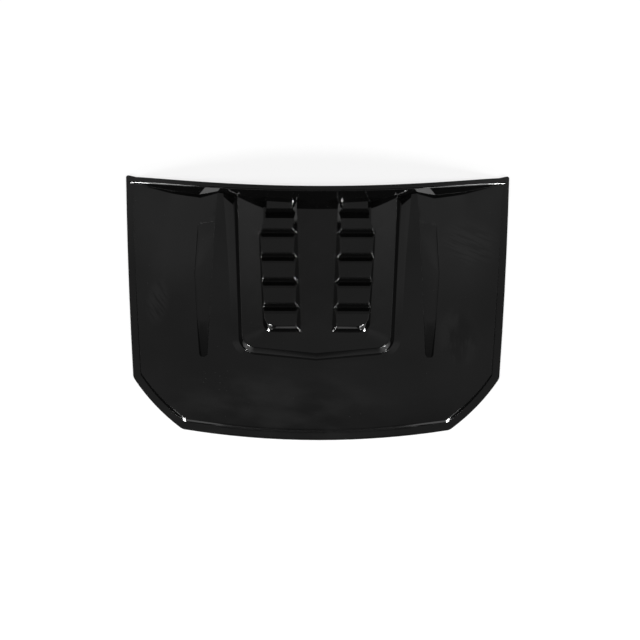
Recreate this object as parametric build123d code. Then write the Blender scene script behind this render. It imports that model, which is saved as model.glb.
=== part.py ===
from build123d import *
import os
from math import atan, cos, radians, sin, tan

os.makedirs("parts", exist_ok=True)

# sizes in millimetres: X across the bonnet, Y towards the windscreen, Z up
wall = 3.0

# working shapes reach this far below the flange and past the finished outline, before they are trimmed
depth_below = 60.0
overshoot = 100.0

# a rounded corner that is moved inwards keeps at least this radius
least_radius = 4.0

# plan outline of the whole cover
rear_half_width = 740.0
rear_corner_y = 541.0
rear_middle_y = 447.0
side_bow = 4.0
headlamp_x = 639.0
headlamp_y = -305.0
nose_x = 456.0
nose_y = -495.0
nose_middle_y = -536.0
headlamp_bow = 11.0
rear_corner_radius = 8.0
headlamp_radius = 40.0
nose_radius = 40.0

# bonding flange that lies on the bonnet all round
flange_width = 23.0
flange_crown = 8.0
step_draft = 30.0
step_reach = 24.0

# main panel, as stations from behind the windscreen edge to ahead of the nose: the place along Y, the height
# on the centreline, then the (X, Z) points of the shoulder ridge, the kink below it, the soft crease on the
# flank and the outer edge
panel_back = (640.0, 48.0, [(372, 44), (450, 11), (560, 5), (790, 5)])
panel_wall_foot = (440.0, 44.0, [(378, 40), (450, 14), (556, 7.5), (790, 5)])
panel_middle = (100.0, 37.0, [(384, 33), (446, 24), (550, 20), (790, -4)])
panel_gill_tip = (-215.0, 32.5, [(380, 29.5), (414, 28.6), (521, 23.5), (790, -8)])
panel_nose = (-580.0, 7.0, [(360, 3), (396, 2), (480, -1), (790, -16)])
crease_width = 24.0

# rear lip with the wall that faces forwards
crest_z = 80.0
crest_half_width = 770.0
crest_rise = 69.0
lip_base_y = 404.0
lip_base_bow = 96.0
lip_half_width = 706.0
lip_slope = 19.0
lip_lean = 14.0
crest_trim = 9.0
crest_radius = 6.0

# moat that falls from the panel to the foot of the dome
moat_depth = 4.5
moat_rear_width = 40.0
moat_side_width = 22.0
moat_front_width = 17.0
moat_rear_z = 40.6
moat_front_z = 30.6
moat_reach = 1.6

# gill: a groove in each shoulder that deepens to a rounded front end, as stations along Y: the (X, Z) of its
# inner and outer edges on the panel, its depth, and how far each wall runs in from its edge
gill_fade = (312.0, (382, 36.6), (447, 18.7), 0.3, 0.2)
gill_shoulder = (265.0, (382, 35.8), (447, 19.8), 3.5, 1.2)
gill_middle = (100.0, (381.5, 33.1), (447, 24.0), 3.0, 1.2)
gill_bend = (-62.0, (381, 31.5), (430, 28.1), 1.6, 1.5)
gill_end = (-270.0, (381, 28.4), (405, 27.4), 27.0, 6.5)
gill_dive_y = -90.0
gill_dive_depth = 2.0
gill_dive_run = 2.0
gill_tip_y = -238.0
gill_tip_z = 28.6
gill_tip_radius = 13.0
gill_tip_draft = 16.0
gill_tip_low = 26.0
gill_tip_high = 30.0
gill_margin = 8.0
gill_wall_spread = 0.9

# dome, on a plane that follows the panel
dome_rear_y = 430.0
dome_rear_z = 26.0
dome_front_z = 31.0
dome_rear_x = 313.0
dome_front_x = 268.0
dome_front_y = -214.0
dome_point_y = -242.0
dome_corner = 62.0
dome_height = 15.0
dome_draft = 36.0
dome_root = 16.0
dome_tail = 190.0
rim_radius = 3.0

# dished floor inside the dome
floor_rear_x = 206.0
floor_front_x = 186.0
floor_front_y = -164.0
floor_point_y = -170.0
floor_corner = 40.0
floor_depth_rear = 27.0
floor_depth_front = 11.0
rim_land = 4.0
floor_over = 2.0

# louvres: two columns of slats on the floor
louvre_inner_rear = 80.0
louvre_inner_front = 54.0
louvre_outer_rear = 198.0
louvre_shoulder_y = 329.0
louvre_wide_x = 218.0
louvre_wide_y = 274.0
louvre_outer_front = 188.0
louvre_front_y = -146.0
louvre_corner = 44.0
louvre_wide_corner = 66.0
louvre_height = 24.0
louvre_inner_draft = 36.0
louvre_outer_draft = 18.0
louvre_front_draft = 32.0
louvre_root = 14.0
louvre_over = 4.0
louvre_tail = 110.0
rear_ridge_y = 366.0
first_ridge_y = 274.5
slat_pitch = 105.0
slat_count = 4
front_ridge_y = -134.0
front_drop_run = 7.0
front_root_run = 13.0
slat_root = 40.0
slat_tail = 120.0
slat_tail_fall = 6.0
slat_drop = 19.0
slat_drop_run = 5.0
slat_rise = 12.0
slat_rise_run = 34.0
slat_radius = 3.0


def across(y):
    return Plane(origin=(0, y, 0), x_dir=(1, 0, 0), z_dir=(0, -1, 0))


def bowed(start, end, bow):
    middle_x = (start[0] + end[0]) / 2
    middle_y = (start[1] + end[1]) / 2
    run_x = end[0] - start[0]
    run_y = end[1] - start[1]
    length = (run_x**2 + run_y**2) ** 0.5
    return ThreePointArc(start, (middle_x - bow * run_y / length, middle_y + bow * run_x / length), end)


def at_point(vertex, points):
    return any(abs(abs(vertex.X) - x) < wall / 6 and abs(vertex.Y - y) < wall / 6 for x, y in points)


def rounded(face, points, radius):
    return fillet([vertex for vertex in face.vertices() if at_point(vertex, points)], radius)


def mitred(before, point, after, inset):
    one = (Vector(*point) - Vector(*before)).normalized()
    two = (Vector(*after) - Vector(*point)).normalized()
    normal = Vector(one.Y, -one.X) + Vector(two.Y, -two.X)
    shift = normal * (inset / (1 + one.dot(two)))
    return (point[0] + shift.X, point[1] + shift.Y)


def cover_outline(inset=0.0):
    corners = [(rear_half_width, rear_corner_y), (headlamp_x, headlamp_y), (nose_x, nose_y)]
    ring = corners + [(-x, y) for x, y in reversed(corners)]
    moved = [mitred(ring[i - 1], ring[i], ring[(i + 1) % 6], inset) for i in range(6)]
    rear, headlamp, nose = moved[:3]
    rear_bow = rear_middle_y - rear_corner_y
    nose_bow = nose_y - nose_middle_y
    right = [bowed(rear, headlamp, side_bow), bowed(headlamp, nose, headlamp_bow)]
    left = [mirror(edge, Plane.YZ) for edge in right]
    back = bowed((-rear[0], rear[1]), rear, rear_bow)
    front = bowed(nose, (-nose[0], nose[1]), nose_bow)
    face = make_face([back, front] + right + left)
    face = rounded(face, [rear], max(rear_corner_radius - inset, least_radius))
    face = rounded(face, [headlamp], max(headlamp_radius - inset, least_radius))
    return rounded(face, [nose], max(nose_radius - inset, least_radius))


def creased(start, middle, end):
    before = Vector(*middle) + (Vector(*start) - Vector(*middle)).normalized() * crease_width / 2
    after = Vector(*middle) + (Vector(*end) - Vector(*middle)).normalized() * crease_width / 2
    return [Line(start, before), Bezier(before, middle, after), Line(after, end)]


def section(station, lower):
    y, middle, half = station
    points = [(x, z - lower) for x, z in half]
    left = [(-x, z) for x, z in reversed(points)]
    crown = ThreePointArc(left[-1], (0, middle - lower), points[0])
    blades = [Line(points[0], points[1]), Line(left[-2], left[-1])]
    flanks = creased(*points[1:]) + creased(*left[:-1])
    edge = points[-1][0]
    base = Polyline(points[-1], (edge, -depth_below), (-edge, -depth_below), left[0])
    return across(y) * make_face([crown, base] + blades + flanks)


def panel(lower):
    stations = [panel_back, panel_wall_foot, panel_middle, panel_gill_tip, panel_nose]
    return loft([section(station, lower) for station in stations])


def drafted(plane, face, inset, low, high, draft):
    grow = tan(radians(draft))
    bottom = plane.offset(low) * offset(face, -inset - low * grow, kind=Kind.INTERSECTION)
    top = plane.offset(high) * offset(face, -inset - high * grow, kind=Kind.INTERSECTION)
    return loft([bottom, top], ruled=True)


def thickness_inset(lower, draft):
    return lower / cos(radians(draft))


def flange(lower):
    z = wall - lower
    far = rear_half_width + overshoot
    crown = ThreePointArc((-nose_x, z), (0, z + flange_crown), (nose_x, z))
    rest = Polyline((nose_x, z), (far, z), (far, -depth_below), (-far, -depth_below), (-far, z), (-nose_x, z))
    return extrude(across(0) * make_face([crown, rest]), rear_corner_y + overshoot, both=True)


def raised_panel(lower):
    inset = flange_width + thickness_inset(lower, step_draft)
    lean = step_reach * tan(radians(step_draft))
    bottom = cover_outline(inset)
    top = Pos(0, 0, step_reach) * cover_outline(inset + lean)
    body = loft([bottom, top], ruled=True) + extrude(bottom, -depth_below) + extrude(top, crest_z)
    return body & panel(lower)


def lip_level(z, lower):
    radius = (lip_half_width**2 + lip_base_bow**2) / (2 * lip_base_bow)
    far = rear_half_width + overshoot
    middle_y = lip_base_y + z * tan(radians(lip_lean)) + thickness_inset(lower, lip_lean)
    corner_y = middle_y + radius - (radius**2 - far**2) ** 0.5
    front = ThreePointArc((-far, corner_y), (0, middle_y), (far, corner_y))
    back_y = rear_corner_y + overshoot
    rest = Polyline((far, corner_y), (far, back_y), (-far, back_y), (-far, corner_y))
    return Pos(0, 0, z) * make_face([front, rest])


def lip(lower):
    wall_body = loft([lip_level(-depth_below, lower), lip_level(crest_z + wall, lower)], ruled=True)
    crest_y = lip_base_y + crest_z * tan(radians(lip_lean))
    centre = (0, crest_z - crest_rise - thickness_inset(lower, lip_slope))
    sweep = 180 - 2 * crest_trim
    crest = EllipticalCenterArc(centre, crest_half_width, crest_rise, crest_trim, arc_size=sweep)
    right = crest @ 0
    left = crest @ 1
    under = Polyline(right, (right.X, -rear_half_width), (left.X, -rear_half_width), left)
    slope = (0, cos(radians(lip_slope)), -sin(radians(lip_slope)))
    top_body = extrude(across(crest_y) * make_face([crest, under]), rear_corner_y, dir=slope, both=True)
    body = wall_body & top_body
    long_edges = body.edges().filter_by(lambda edge: edge.length > rear_half_width)
    crest_edge = long_edges.sort_by_distance((0, crest_y, crest_z))[0]
    return fillet(crest_edge, max(crest_radius - lower, wall))


def tilted(rear_z, front_z):
    pitch = atan((front_z - rear_z) / (dome_rear_y - dome_point_y))
    return Plane(origin=(0, dome_rear_y, rear_z), x_dir=(1, 0, 0), z_dir=(0, sin(pitch), cos(pitch)))


def dome_plane():
    return tilted(dome_rear_z, dome_front_z)


def floor_plane():
    length = dome_rear_y - floor_front_y
    rise = (dome_front_z - dome_rear_z) * length / (dome_rear_y - dome_point_y)
    pitch = atan((rise + floor_depth_rear - floor_depth_front) / length)
    start = dome_plane().offset(dome_height - floor_depth_rear).origin
    return Plane(origin=start, x_dir=(1, 0, 0), z_dir=(0, sin(pitch), cos(pitch)))


def horseshoe(rear_x, front_x, front_y, point_y, corner):
    front_v = front_y - dome_rear_y
    back_x = rear_x + (rear_x - front_x) * dome_tail / -front_v
    front = [(front_x, front_v), (0, point_y - dome_rear_y), (-front_x, front_v)]
    face = make_face(Polyline((back_x, dome_tail), *front, (-back_x, dome_tail), close=True))
    return rounded(face, [(front_x, front_v)], corner)


def dome_outline(rear=0.0, side=0.0, front=0.0):
    rear_x = dome_rear_x + rear
    front_x = dome_front_x + side
    corner = dome_corner + (side + front) / 2
    return horseshoe(rear_x, front_x, dome_front_y - front, dome_point_y - front, corner)


def moat(lower):
    foot = moat_depth * tan(radians(dome_draft))
    rear_z = dome_rear_z - moat_depth
    front_z = dome_front_z - moat_depth
    top_rear_z = rear_z + moat_reach * (moat_rear_z - rear_z)
    top_front_z = front_z + moat_reach * (moat_front_z - front_z)
    widths = [foot + moat_reach * width for width in (moat_rear_width, moat_side_width, moat_front_width)]
    bottom = tilted(rear_z - lower, front_z - lower) * dome_outline(foot, foot, foot)
    top = tilted(top_rear_z - lower, top_front_z - lower) * dome_outline(*widths)
    return loft([bottom, top], ruled=True)


def groove_section(station, lower):
    y, inner, outer, depth, run = station
    spread = lower * gill_wall_spread
    low_inner = (inner[0] + run - spread, inner[1] - depth - lower)
    low_outer = (outer[0] - run + spread, outer[1] - depth - lower)
    high_inner = (inner[0] - run - spread, inner[1] + depth - lower)
    high_outer = (outer[0] + run + spread, outer[1] + depth - lower)
    return across(y) * make_face(Polyline(low_inner, low_outer, high_outer, high_inner, close=True))


def gill_edges(y):
    bend_y, *bend_edges, _, _ = gill_bend
    end_y, *end_edges, _, _ = gill_end
    share = (y - end_y) / (bend_y - end_y)
    return [
        (end[0] + share * (bend[0] - end[0]), end[1] + share * (bend[1] - end[1]))
        for bend, end in zip(bend_edges, end_edges)
    ]


def gill_leaf():
    inner, outer = gill_edges(gill_tip_y)
    wide_x = gill_fade[2][0] + gill_margin
    back_y = gill_fade[0] + gill_margin
    tip = [(inner[0], gill_tip_y), (outer[0], gill_tip_y)]
    rest = [(wide_x, gill_middle[0]), (wide_x, back_y), (inner[0] - gill_margin, back_y)]
    return rounded(make_face(Polyline(*tip, *rest, close=True)), tip, gill_tip_radius)


def gill(lower):
    dive = (gill_dive_y, *gill_edges(gill_dive_y), gill_dive_depth, gill_dive_run)
    stations = [gill_fade, gill_shoulder, gill_middle, gill_bend, dive, gill_end]
    groove = loft([groove_section(station, lower) for station in stations], ruled=True)
    inset = -thickness_inset(lower, gill_tip_draft)
    tip_plane = Plane.XY.offset(gill_tip_z - lower)
    groove = groove & drafted(tip_plane, gill_leaf(), inset, -gill_tip_low, gill_tip_high, -gill_tip_draft)
    return groove + mirror(groove, Plane.YZ)


def dome(lower):
    inset = thickness_inset(lower, dome_draft)
    block = drafted(dome_plane(), dome_outline(), inset, -dome_root, dome_height - lower, dome_draft)
    rim = block.faces().sort_by(Axis.Z)[-1]
    if lower == 0:
        block = fillet([edge for edge in rim.edges() if edge.center().Y < dome_rear_y], rim_radius)
    return block - dish(lower)


def dish(lower):
    floor = horseshoe(floor_rear_x, floor_front_x, floor_front_y, floor_point_y, floor_corner)
    slope = (floor_depth_rear + floor_depth_front) / 2 / (dome_rear_x - floor_rear_x)
    shrink = dome_height * tan(radians(dome_draft)) + rim_land - floor_over / slope
    rim = offset(dome_outline(), -shrink, kind=Kind.INTERSECTION)
    top = dome_plane().offset(dome_height + floor_over - lower) * rim
    bottom = floor_plane().offset(-lower) * floor
    return loft([bottom, top], ruled=True)


def slats(lower):
    v = -dome_rear_y
    low = louvre_height - slat_drop
    rear_end = [(slat_tail, -slat_root), (slat_tail, louvre_height - slat_tail_fall)]
    steps = rear_end + [(rear_ridge_y + v, louvre_height)]
    ridges = [first_ridge_y - i * slat_pitch for i in range(slat_count)] + [front_ridge_y]
    last = rear_ridge_y
    for ridge in ridges:
        steps.append((last - slat_drop_run + v, low))
        steps.append((last - slat_drop_run - slat_rise_run + v, low + slat_rise))
        steps.append((ridge + v, louvre_height))
        last = ridge
    foot = front_ridge_y - front_drop_run + v
    steps.append((foot, 0))
    steps.append((foot - front_root_run, -slat_root))
    profile = make_face(Polyline(*steps, close=True))
    if lower > 0:
        profile = offset(profile, -lower, kind=Kind.INTERSECTION)
    side = Plane(floor_plane().origin, x_dir=floor_plane().y_dir, z_dir=(1, 0, 0))
    return extrude(side * profile, louvre_wide_x + overshoot)


def is_ridge(edge):
    height = floor_plane().to_local_coords(edge.center()).Z
    run = edge.end_point() - edge.start_point()
    return abs(run.X) > slat_pitch / 2 and abs(run.X) > abs(run.Y) and height > louvre_height - slat_radius


def drafted_by(draft, height, lower):
    return height * tan(radians(draft)) + thickness_inset(lower, draft)


def louvre_level(height, lower):
    inner = drafted_by(louvre_inner_draft, height, lower)
    outer = drafted_by(louvre_outer_draft, height, lower)
    front_v = louvre_front_y - dome_rear_y + drafted_by(louvre_front_draft, height, lower)
    inner_slope = (louvre_inner_rear - louvre_inner_front) / (dome_rear_y - louvre_front_y)
    plan = [
        (louvre_inner_rear + inner_slope * louvre_tail + inner, louvre_tail),
        (louvre_inner_front + inner, front_v),
        (louvre_outer_front - outer, front_v),
        (louvre_wide_x - outer, louvre_wide_y - dome_rear_y),
        (louvre_outer_rear - outer, louvre_shoulder_y - dome_rear_y),
        (louvre_outer_rear - outer, louvre_tail),
    ]
    face = make_face(Polyline(*plan, close=True))
    face = rounded(face, [plan[2]], louvre_corner)
    face = rounded(face, [plan[3], plan[4]], louvre_wide_corner)
    return floor_plane().offset(height) * face


def louvre(lower):
    levels = [louvre_level(height, lower) for height in (-louvre_root, louvre_height + louvre_over)]
    column = loft(levels, ruled=True) & slats(lower)
    if lower == 0:
        column = fillet([edge for edge in column.edges() if is_ridge(edge)], slat_radius)
    return column + mirror(column, Plane.YZ)


def form(lower):
    body = flange(lower) + raised_panel(lower) - gill(lower) - moat(lower) - dish(lower)
    return body + dome(lower) + lip(lower) + louvre(lower)


trim = extrude(Pos(0, 0, -depth_below) * cover_outline(), depth_below + crest_z + wall)
cover = (form(0) - form(wall)) & trim
cover = Pos(0, -cover.bounding_box().center().Y, 0) * cover
print("solids", len(cover.solids()), "valid", cover.is_valid, "volume", round(cover.volume))
print("size", cover.bounding_box().size)
export_step(cover, "parts/bonnet_scoop.step")
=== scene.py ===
# %% [markdown]
# A bonnet scoop is a cover that is formed from one sheet of gloss black plastic and bonded onto
# a car's bonnet. The model in the frame already has its true form. This lesson gives it a clean
# skin for reflections and a gloss finish with the small marks that handling leaves. The floor,
# sky, lamps and camera are those of a shop photograph.

# %% Load the frame
import math
import bmesh
import bpy
from mathutils import Matrix, Vector


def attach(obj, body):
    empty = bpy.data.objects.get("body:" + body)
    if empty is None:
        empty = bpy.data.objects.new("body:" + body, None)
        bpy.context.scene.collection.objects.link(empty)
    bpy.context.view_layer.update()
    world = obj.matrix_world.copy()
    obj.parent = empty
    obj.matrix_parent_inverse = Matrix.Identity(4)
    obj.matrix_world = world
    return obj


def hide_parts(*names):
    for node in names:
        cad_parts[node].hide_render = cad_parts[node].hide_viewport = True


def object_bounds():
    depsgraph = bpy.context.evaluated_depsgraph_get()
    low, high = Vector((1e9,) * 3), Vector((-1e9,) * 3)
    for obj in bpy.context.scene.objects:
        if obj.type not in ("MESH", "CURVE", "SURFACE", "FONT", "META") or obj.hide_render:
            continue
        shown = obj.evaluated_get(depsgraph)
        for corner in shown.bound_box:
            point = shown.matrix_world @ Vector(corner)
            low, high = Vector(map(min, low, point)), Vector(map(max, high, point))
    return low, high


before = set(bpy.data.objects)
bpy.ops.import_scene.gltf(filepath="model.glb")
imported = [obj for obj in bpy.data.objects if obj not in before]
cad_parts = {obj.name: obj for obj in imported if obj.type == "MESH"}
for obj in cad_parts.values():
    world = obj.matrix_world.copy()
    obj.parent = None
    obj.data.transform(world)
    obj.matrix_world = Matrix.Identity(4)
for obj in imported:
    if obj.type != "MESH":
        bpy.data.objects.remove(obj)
cad_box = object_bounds()
size = cad_box[1] - cad_box[0]
print(f"cover {size.x:.3f} x {size.y:.3f} x {size.z:.3f} m")

# %% [markdown]
# The skin. On the real cover this is the outer face of one formed sheet, so a reflection runs on
# from flat to fillet without a break. The frame's mesh is loose triangles, one patch for each
# face of the model, and light would break at every patch. The skin could be drawn afresh, but
# the model's form is already right, so a copy of its mesh is merged into one skin.

# %% Merge a copy of the shell
merge_distance = 1e-5


def merged_skin(node):
    bm = bmesh.new()
    bm.from_mesh(node.data)
    for edge in bm.edges:
        edge.seam = edge.is_boundary
    bmesh.ops.remove_doubles(bm, verts=bm.verts, dist=merge_distance)
    return bm


skin = merged_skin(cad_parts["bonnet_scoop"])
open_edges = sum(not edge.is_manifold for edge in skin.edges)
print(f"skin of {len(skin.faces)} faces, {open_edges} open edges")

# %% [markdown]
# The creases. A formed sheet has few sharp edges: those where it really turns, and its cut rim.
# They could be picked by hand, but the borders of the patches already lie there, so a border
# that turns far enough becomes a crease. The narrow facets of a fillet turn more from one to the
# next, so they have a wider limit. All else is shaded smooth.

# %% Mark the creases
crease_angle = math.radians(8.0)
fillet_angle = math.radians(16.0)
fillet_width = 0.0025


def face_width(face):
    return 2.0 * face.calc_area() / max(edge.calc_length() for edge in face.edges)


def is_crease(edge):
    if not edge.seam or len(edge.link_faces) != 2:
        return False
    on_fillet = min(face_width(face) for face in edge.link_faces) < fillet_width
    return edge.calc_face_angle() > (fillet_angle if on_fillet else crease_angle)


for edge in skin.edges:
    edge.smooth = not is_crease(edge)
for edge in skin.edges:
    edge.seam = False
for face in skin.faces:
    face.smooth = True
print(f"{sum(not edge.smooth for edge in skin.edges)} creases")

# %% [markdown]
# The piece. The skin stands for the whole moulded shell and takes the place of the model's own
# mesh. The narrow facets of a fillet could bend the light on the flats beside them, so the
# normals are weighted by area and the fillets follow the flats.

# %% Make the piece that stands for the moulded shell
area_weight = 100

shell_mesh = bpy.data.meshes.new("moulded_shell")
skin.to_mesh(shell_mesh)
skin.free()
shell = bpy.data.objects.new("moulded_shell", shell_mesh)
bpy.context.scene.collection.objects.link(shell)
weighted = shell.modifiers.new("fillets follow flats", "WEIGHTED_NORMAL")
weighted.mode = "FACE_AREA"
weighted.weight = area_weight
weighted.keep_sharp = True
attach(shell, "root")
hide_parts("bonnet_scoop")
print(f"{shell.name}: {len(shell_mesh.polygons)} faces")

# %% [markdown]
# Shader maths reads best as plain expressions, so a small class wraps a socket and adds the Math
# nodes for them. Every other node comes from one method, which takes the node's type, its
# settings and its sockets.

# %% A socket that can be added and multiplied


class Wire:
    def __init__(self, tree, socket=None):
        self.tree = tree
        self.socket = socket

    def node(self, kind, settings=None, sockets=None, out=0):
        made = self.tree.nodes.new(kind)
        for name, value in (settings or {}).items():
            setattr(made, name, value)
        for key, value in (sockets or {}).items():
            if isinstance(value, Wire):
                self.tree.links.new(value.socket, made.inputs[key])
            else:
                made.inputs[key].default_value = value
        return Wire(self.tree, made.outputs[out] if made.outputs else None)

    def maths(self, operation, first, second):
        return self.node("ShaderNodeMath", {"operation": operation}, {0: first, 1: second})

    def step(self, low, high):
        limits = {"Value": self, "From Min": low, "From Max": high}
        return self.node("ShaderNodeMapRange", {"interpolation_type": "SMOOTHSTEP"}, limits)

    def __add__(self, other):
        return self.maths("ADD", self, other)

    def __sub__(self, other):
        return self.maths("SUBTRACT", self, other)

    def __rsub__(self, other):
        return self.maths("SUBTRACT", other, self)

    def __mul__(self, other):
        return self.maths("MULTIPLY", self, other)

    __radd__ = __add__
    __rmul__ = __mul__


def new_material(name):
    material = bpy.data.materials.new(name)
    material.use_nodes = True
    material.node_tree.nodes.clear()
    return material, Wire(material.node_tree)


# %% [markdown]
# Soft edges. A heated sheet never takes a mould's edge quite sharp. It is softest where a
# louvre's ridge runs out and along the middle of the nose. A bevel in the mesh would disturb the
# shading of the louvres' drops, so Bevel nodes turn the normals near the edges instead. Each
# pair below is where a zone starts to fade in and where it is full, in metres.

# %% Soften the edges
edge_round, edge_samples = 0.0009, 6
step_round, ridge_round, wide_samples = 0.01, 0.009, 12
ridge_y, ridge_pitch = 0.276, 0.105
ridge_reach, ridge_fade = 0.008, 0.001
column_inner, column_outer = (0.045, 0.055), (0.235, 0.23)
column_front, column_rear = (-0.17, -0.16), (0.34, 0.33)
past_ridges = (-0.09, -0.1)
front_end_along, front_end_out = (-0.118, -0.122), (0.076, 0.072)
nose_along, nose_out = (-0.46, -0.48), (0.36, 0.26)


def soft_edges(wire, across, along):
    out = wire.maths("ABSOLUTE", across, 0.0)
    column = out.step(*column_inner) * out.step(*column_outer)
    column = column * along.step(*column_front) * along.step(*column_rear)
    from_ridge = wire.maths("PINGPONG", along - ridge_y, ridge_pitch / 2)
    from_ridge = from_ridge + along.step(*past_ridges)
    near_ridge = from_ridge.step(ridge_reach + ridge_fade, ridge_reach)
    front_end = along.step(*front_end_along) * out.step(*front_end_out)
    at_ridge = column * wire.maths("MAXIMUM", near_ridge, front_end)
    at_nose = along.step(*nose_along) * out.step(*nose_out)
    normal = wire.node("ShaderNodeBevel", {"samples": edge_samples}, {"Radius": edge_round})
    for zone, radius in ((at_nose, step_round), (at_ridge, ridge_round)):
        soft = wire.node("ShaderNodeBevel", {"samples": wide_samples}, {"Radius": radius})
        # A Mix node's vector sockets are inputs 4 and 5 and output 1.
        blend = {0: zone, 4: normal, 5: soft}
        normal = wire.node("ShaderNodeMix", {"data_type": "VECTOR"}, blend, out=1)
    return normal


# %% [markdown]
# Marks of handling. Hands and cloths leave a thin film on gloss plastic: a faint veil all over,
# haze at the nose, a wiped patch on the left, two on the right, and a few specks of dust. A
# painted image could show them, but noise in the object's own coordinates stays put from every
# side and needs no file. Each patch is a soft oval, and the strokes of a cloth are stretched
# noise that takes the film away.

# %% Draw the marks of handling
# A spot is its middle and its reach. A grain is its turn in degrees, its reach and its limits.
# Specks are cells to a metre, the speck's share of a cell and the share of cells that have one.
haze_spot = ((-0.14, -0.43), (0.46, 0.17))
left_spot = ((-0.573, -0.015), (0.05, 0.11))
right_spot = ((0.569, 0.237), (0.13, 0.12))
lower_spot = ((0.5, -0.154), (0.09, 0.14))
dust_spot = ((-0.361, -0.328), (0.07, 0.06))
spot_fade = (1.0, 0.1)
veil_grain = (12.0, (0.33, 0.33), 0.3, 0.7)
cloud_grain = (-8.0, (0.16, 0.07), 0.35, 0.65)
left_strokes = (-55.0, (0.1, 0.008), 0.48, 0.6)
right_strokes = (-24.0, (0.12, 0.014), 0.47, 0.58)
lower_strokes = (85.0, (0.16, 0.05), 0.42, 0.6)
grain_height, grain_detail = 0.2, 4.0
veil_share, left_share, right_share, lower_share = 0.5, 0.8, 0.7, 0.7
dust_specks, stray_specks = (55.0, 0.11, 0.5), (26.0, 0.04, 0.05)
speck_core, lot_fade = 0.5, 0.02


def patch(across, along, middle, reach):
    sideways = (across - middle[0]) * (1.0 / reach[0])
    lengthways = (along - middle[1]) * (1.0 / reach[1])
    return (sideways * sideways + lengthways * lengthways).step(*spot_fade)


def grain(wire, place, turn, reach, low, high):
    turned = wire.node("ShaderNodeMapping", {"vector_type": "TEXTURE"}, {
        "Vector": place,
        "Rotation": (0.0, 0.0, math.radians(turn)),
        "Scale": (reach[0], reach[1], grain_height),
    })
    sockets = {"Vector": turned, "Scale": 1.0, "Detail": grain_detail}
    return wire.node("ShaderNodeTexNoise", {}, sockets).step(low, high)


def specks(wire, place, per_metre, radius, share):
    flat = wire.node("ShaderNodeMapping", {}, {"Vector": place, "Scale": (1.0, 1.0, 0.0)})
    settings = {"voronoi_dimensions": "2D"}
    cells = {"Vector": flat, "Scale": per_metre}
    near = wire.node("ShaderNodeTexVoronoi", settings, cells, out="Distance")
    lot = wire.node("ShaderNodeTexVoronoi", settings, cells, out="Color")
    chance = wire.node("ShaderNodeSeparateXYZ", {}, {"Vector": lot})
    drawn = chance.step(1.0 - share, 1.0 - share + lot_fade)
    return near.step(radius, radius * speck_core) * drawn


def handling(wire, place, across, along):
    veil = grain(wire, place, *veil_grain) * veil_share
    haze = patch(across, along, *haze_spot) * grain(wire, place, *cloud_grain)
    left, right, lower = (
        patch(across, along, *spot) for spot in (left_spot, right_spot, lower_spot)
    )
    film = veil + haze + left * left_share + right * right_share + lower * lower_share
    wiped = left * grain(wire, place, *left_strokes)
    swept = right * grain(wire, place, *right_strokes)
    rubbed = lower * grain(wire, place, *lower_strokes)
    cleaned = wire.maths("MAXIMUM", wiped, wire.maths("MAXIMUM", swept, rubbed))
    cluster = patch(across, along, *dust_spot) * specks(wire, place, *dust_specks)
    dust = cluster + specks(wire, place, *stray_specks)
    return film * (1.0 - cleaned), dust


# %% [markdown]
# Gloss black plastic. It is almost all reflection: its own colour is near black, and the sharp,
# slightly uneven mirror of its surface is what the eye reads. A very fine ripple, left by the
# sheet's own skin, keeps that mirror from being perfect. Film and dust scatter light, so they
# lie in the colour and the roughness. They settle on faces that look up, and the steep walls
# stay clean.

# %% Gloss black plastic
own_black, film_grey, dust_grey = 0.0013, 0.004, 0.014
own_rough, film_rough, dust_rough = 0.05, 0.05, 0.3
plastic_ior = 1.58
looks_up = (0.8, 0.97)
peel_scale, peel_detail, peel_strength, peel_depth = 220.0, 2.0, 0.02, 0.0004
black, white = (0.0, 0.0, 0.0, 1.0), (1.0, 1.0, 1.0, 1.0)


def parts_of(wire, vector, count):
    return [
        wire.node("ShaderNodeSeparateXYZ", {}, {"Vector": vector}, out=i) for i in range(count)
    ]


def gloss_black():
    material, wire = new_material("gloss_black_plastic")
    place = wire.node("ShaderNodeTexCoord", out="Object")
    across, along = parts_of(wire, place, 2)
    facing = wire.node("ShaderNodeTexCoord", out="Normal")
    upwards = parts_of(wire, facing, 3)[2].step(*looks_up)
    film, dust = (mark * upwards for mark in handling(wire, place, across, along))
    shade = own_black + film * film_grey + dust * dust_grey
    # A Mix node's colour sockets are inputs 6 and 7 and output 2.
    blend = {0: shade, 6: black, 7: white}
    tint = wire.node("ShaderNodeMix", {"data_type": "RGBA"}, blend, out=2)
    peel = wire.node("ShaderNodeTexNoise", {}, {
        "Vector": place, "Scale": peel_scale, "Detail": peel_detail,
    })
    rippled = wire.node("ShaderNodeBump", {}, {
        "Strength": peel_strength,
        "Distance": peel_depth,
        "Height": peel,
        "Normal": soft_edges(wire, across, along),
    })
    surface = wire.node("ShaderNodeBsdfPrincipled", {}, {
        "Base Color": tint,
        "Roughness": own_rough + film * film_rough + dust * dust_rough,
        "IOR": plastic_ior,
        "Normal": rippled,
    })
    wire.node("ShaderNodeOutputMaterial", {}, {"Surface": surface})
    return material


finish = gloss_black()
shell.data.materials.clear()
shell.data.materials.append(finish)
print(f"{finish.name}: {len(finish.node_tree.nodes)} nodes")

# %% [markdown]
# The floor. A shop photograph stands on white. The floor's own colour is a pale grey, and a
# steady glow that only the camera and mirror-like surfaces see lifts it to white, so the cover
# gets no extra light from it and its shadow stays.

# %% Lay the floor
floor_half = 40.0
floor_grey = 0.3
floor_lift = 0.74
floor_gap = 0.0005


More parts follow.
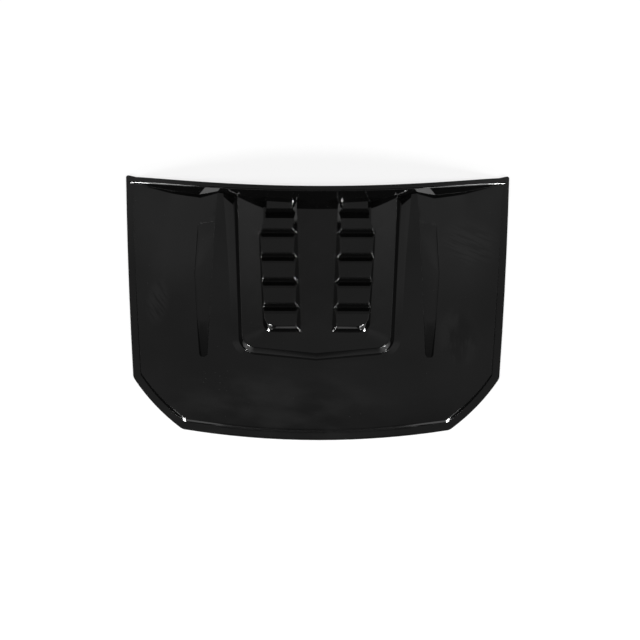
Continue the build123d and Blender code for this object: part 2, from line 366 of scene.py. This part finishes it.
def pale_floor():
    material, wire = new_material("pale_floor")
    seen, mirrored, through = (
        wire.node("ShaderNodeLightPath", out=ray)
        for ray in ("Is Camera Ray", "Is Glossy Ray", "Is Transmission Ray")
    )
    grey = (floor_grey, floor_grey, floor_grey, 1.0)
    matt = wire.node("ShaderNodeBsdfDiffuse", {}, {"Color": grey})
    lift = (seen + mirrored + through) * floor_lift
    glow = wire.node("ShaderNodeEmission", {}, {"Strength": lift})
    both = wire.node("ShaderNodeAddShader", {}, {0: matt, 1: glow})
    wire.node("ShaderNodeOutputMaterial", {}, {"Surface": both})
    return material


floor_bm = bmesh.new()
bmesh.ops.create_grid(floor_bm, x_segments=1, y_segments=1, size=floor_half)
floor_shift = Vector((0.0, 0.0, cad_box[0].z - floor_gap))
bmesh.ops.translate(floor_bm, verts=floor_bm.verts, vec=floor_shift)
floor_mesh = bpy.data.meshes.new("floor")
floor_bm.to_mesh(floor_mesh)
floor_bm.free()
floor = bpy.data.objects.new("floor", floor_mesh)
floor.data.materials.append(pale_floor())
bpy.context.scene.collection.objects.link(floor)
print(f"floor {2 * floor_half:.0f} m wide")

# %% [markdown]
# The sky. Gloss black shows what it mirrors and little else, so the sky is drawn as the room
# would be. It is grey behind and overhead, with a paler window on each side and pale side walls.
# It is darker low down behind, and dark at the front, where the camera and its operator stand.
# A pale band lies along the horizon. Each pair below is where a zone starts to fade in and where
# it is full, as a part of the direction looked in.

# %% Draw the sky
rear_grey, front_grey = 0.205, 0.045
window_light, side_light = 0.1, 0.09
low_shade, far_shade = 0.07, 0.45
window_inner, window_outer = (0.08, 0.22), (0.5, 0.38)
window_depth, window_sill = (0.47, 0.56), (0.6, 0.7)
side_out, side_top = (0.1, 0.3), (0.84, 0.68)
low_top, low_out = (0.62, 0.36), (0.6, 0.4)
rear_depth, far_out = (0.0, 0.26), (0.6, 0.75)
horizon_top = (0.15, 0.05)

world = bpy.data.worlds.new("studio")
world.use_nodes = True
world.node_tree.nodes.clear()
sky = Wire(world.node_tree)
direction = sky.node("ShaderNodeTexCoord", out="Generated")
across, depth, height = parts_of(sky, direction, 3)
out = sky.maths("ABSOLUTE", across, 0.0)
windows = out.step(*window_inner) * out.step(*window_outer)
windows = windows * depth.step(*window_depth) * height.step(*window_sill)
sides = out.step(*side_out) * height.step(*side_top)
low = height.step(*low_top) * out.step(*low_out)
rear = rear_grey + windows * window_light + sides * side_light - low * low_shade
behind = depth.step(*rear_depth) * (1.0 - out.step(*far_out) * far_shade)
horizon = height.step(*horizon_top)
room = front_grey + (rear - front_grey) * behind
strength = room + (1.0 - room) * horizon
background = sky.node("ShaderNodeBackground", {}, {"Color": white, "Strength": strength})
sky.node("ShaderNodeOutputWorld", {}, {"Surface": background})
bpy.context.scene.world = world
print("sky:", rear_grey, "behind and", front_grey, "in front")

# %% [markdown]
# The lamps. Two low, soft strips far off at the front draw the long glints on the crest. They
# stand at different angles and the right one is wider, as those glints show. Two smaller and
# brighter boxes beside them leave the points of light on the louvres and at the dome's corners.
# Two large boxes higher up bring the whole to a plain level.

# %% Set the lamps
lamp_reach = 12.0


def direction_to(turn, rise):
    flat = math.cos(rise)
    return Vector((math.sin(turn) * flat, -math.cos(turn) * flat, math.sin(rise)))


def studio_lamp(name, azimuth, elevation, width, height, radiance):
    lamp = bpy.data.lights.new(name, "AREA")
    lamp.shape = "RECTANGLE"
    lamp.size = width
    lamp.size_y = height
    lamp.energy = radiance * math.pi * width * height
    item = bpy.data.objects.new(name, lamp)
    towards = direction_to(math.radians(azimuth), math.radians(elevation))
    item.location = towards * lamp_reach
    item.rotation_euler = (-towards).to_track_quat("-Z", "Y").to_euler()
    bpy.context.scene.collection.objects.link(item)
    print(f"{name}: {lamp.energy:.1f} W")


low_lamp = 12.0
strip = {"elevation": low_lamp, "height": 1.7}
key = {"elevation": low_lamp, "width": 2.2, "height": 1.4, "radiance": 160.0}
fill = {"elevation": 38.0, "width": 3.6, "height": 3.6, "radiance": 14.0}
key_azimuth, fill_azimuth = 50.0, 56.0

studio_lamp("strip_left", azimuth=-40.5, width=3.6, radiance=9.0, **strip)
studio_lamp("strip_right", azimuth=37.0, width=5.0, radiance=10.0, **strip)
for side in (-1, 1):
    studio_lamp(f"key_{side}", azimuth=side * key_azimuth, **key)
    studio_lamp(f"fill_{side}", azimuth=side * fill_azimuth, **fill)

# %% [markdown]
# The camera looks down on the cover's nose from 64 degrees, from far enough to flatten it as a
# long lens does.

# %% Place the camera
camera_distance = 3.6
camera_azimuth = math.radians(0.4)
camera_elevation = math.radians(64.0)
camera_roll = math.radians(-0.15)
camera_target = Vector((0.0123, -0.0802, 0.0))
focal_pixels, image_pixels = 1002.0, 640.0
sensor_width = 36.0

camera_data = bpy.data.cameras.new("camera")
camera_data.sensor_width = sensor_width
camera_data.lens = focal_pixels / image_pixels * sensor_width
camera = bpy.data.objects.new("camera", camera_data)
away = direction_to(camera_azimuth, camera_elevation)
turned = (-away).to_track_quat("-Z", "Y").to_matrix() @ Matrix.Rotation(camera_roll, 3, "Z")
stand = Matrix.Translation(camera_target + away * camera_distance)
camera.matrix_world = stand @ turned.to_4x4()
bpy.context.scene.collection.objects.link(camera)
bpy.context.scene.camera = camera
bpy.context.scene.view_settings.view_transform = "Standard"
print(f"lens {camera_data.lens:.1f} mm")
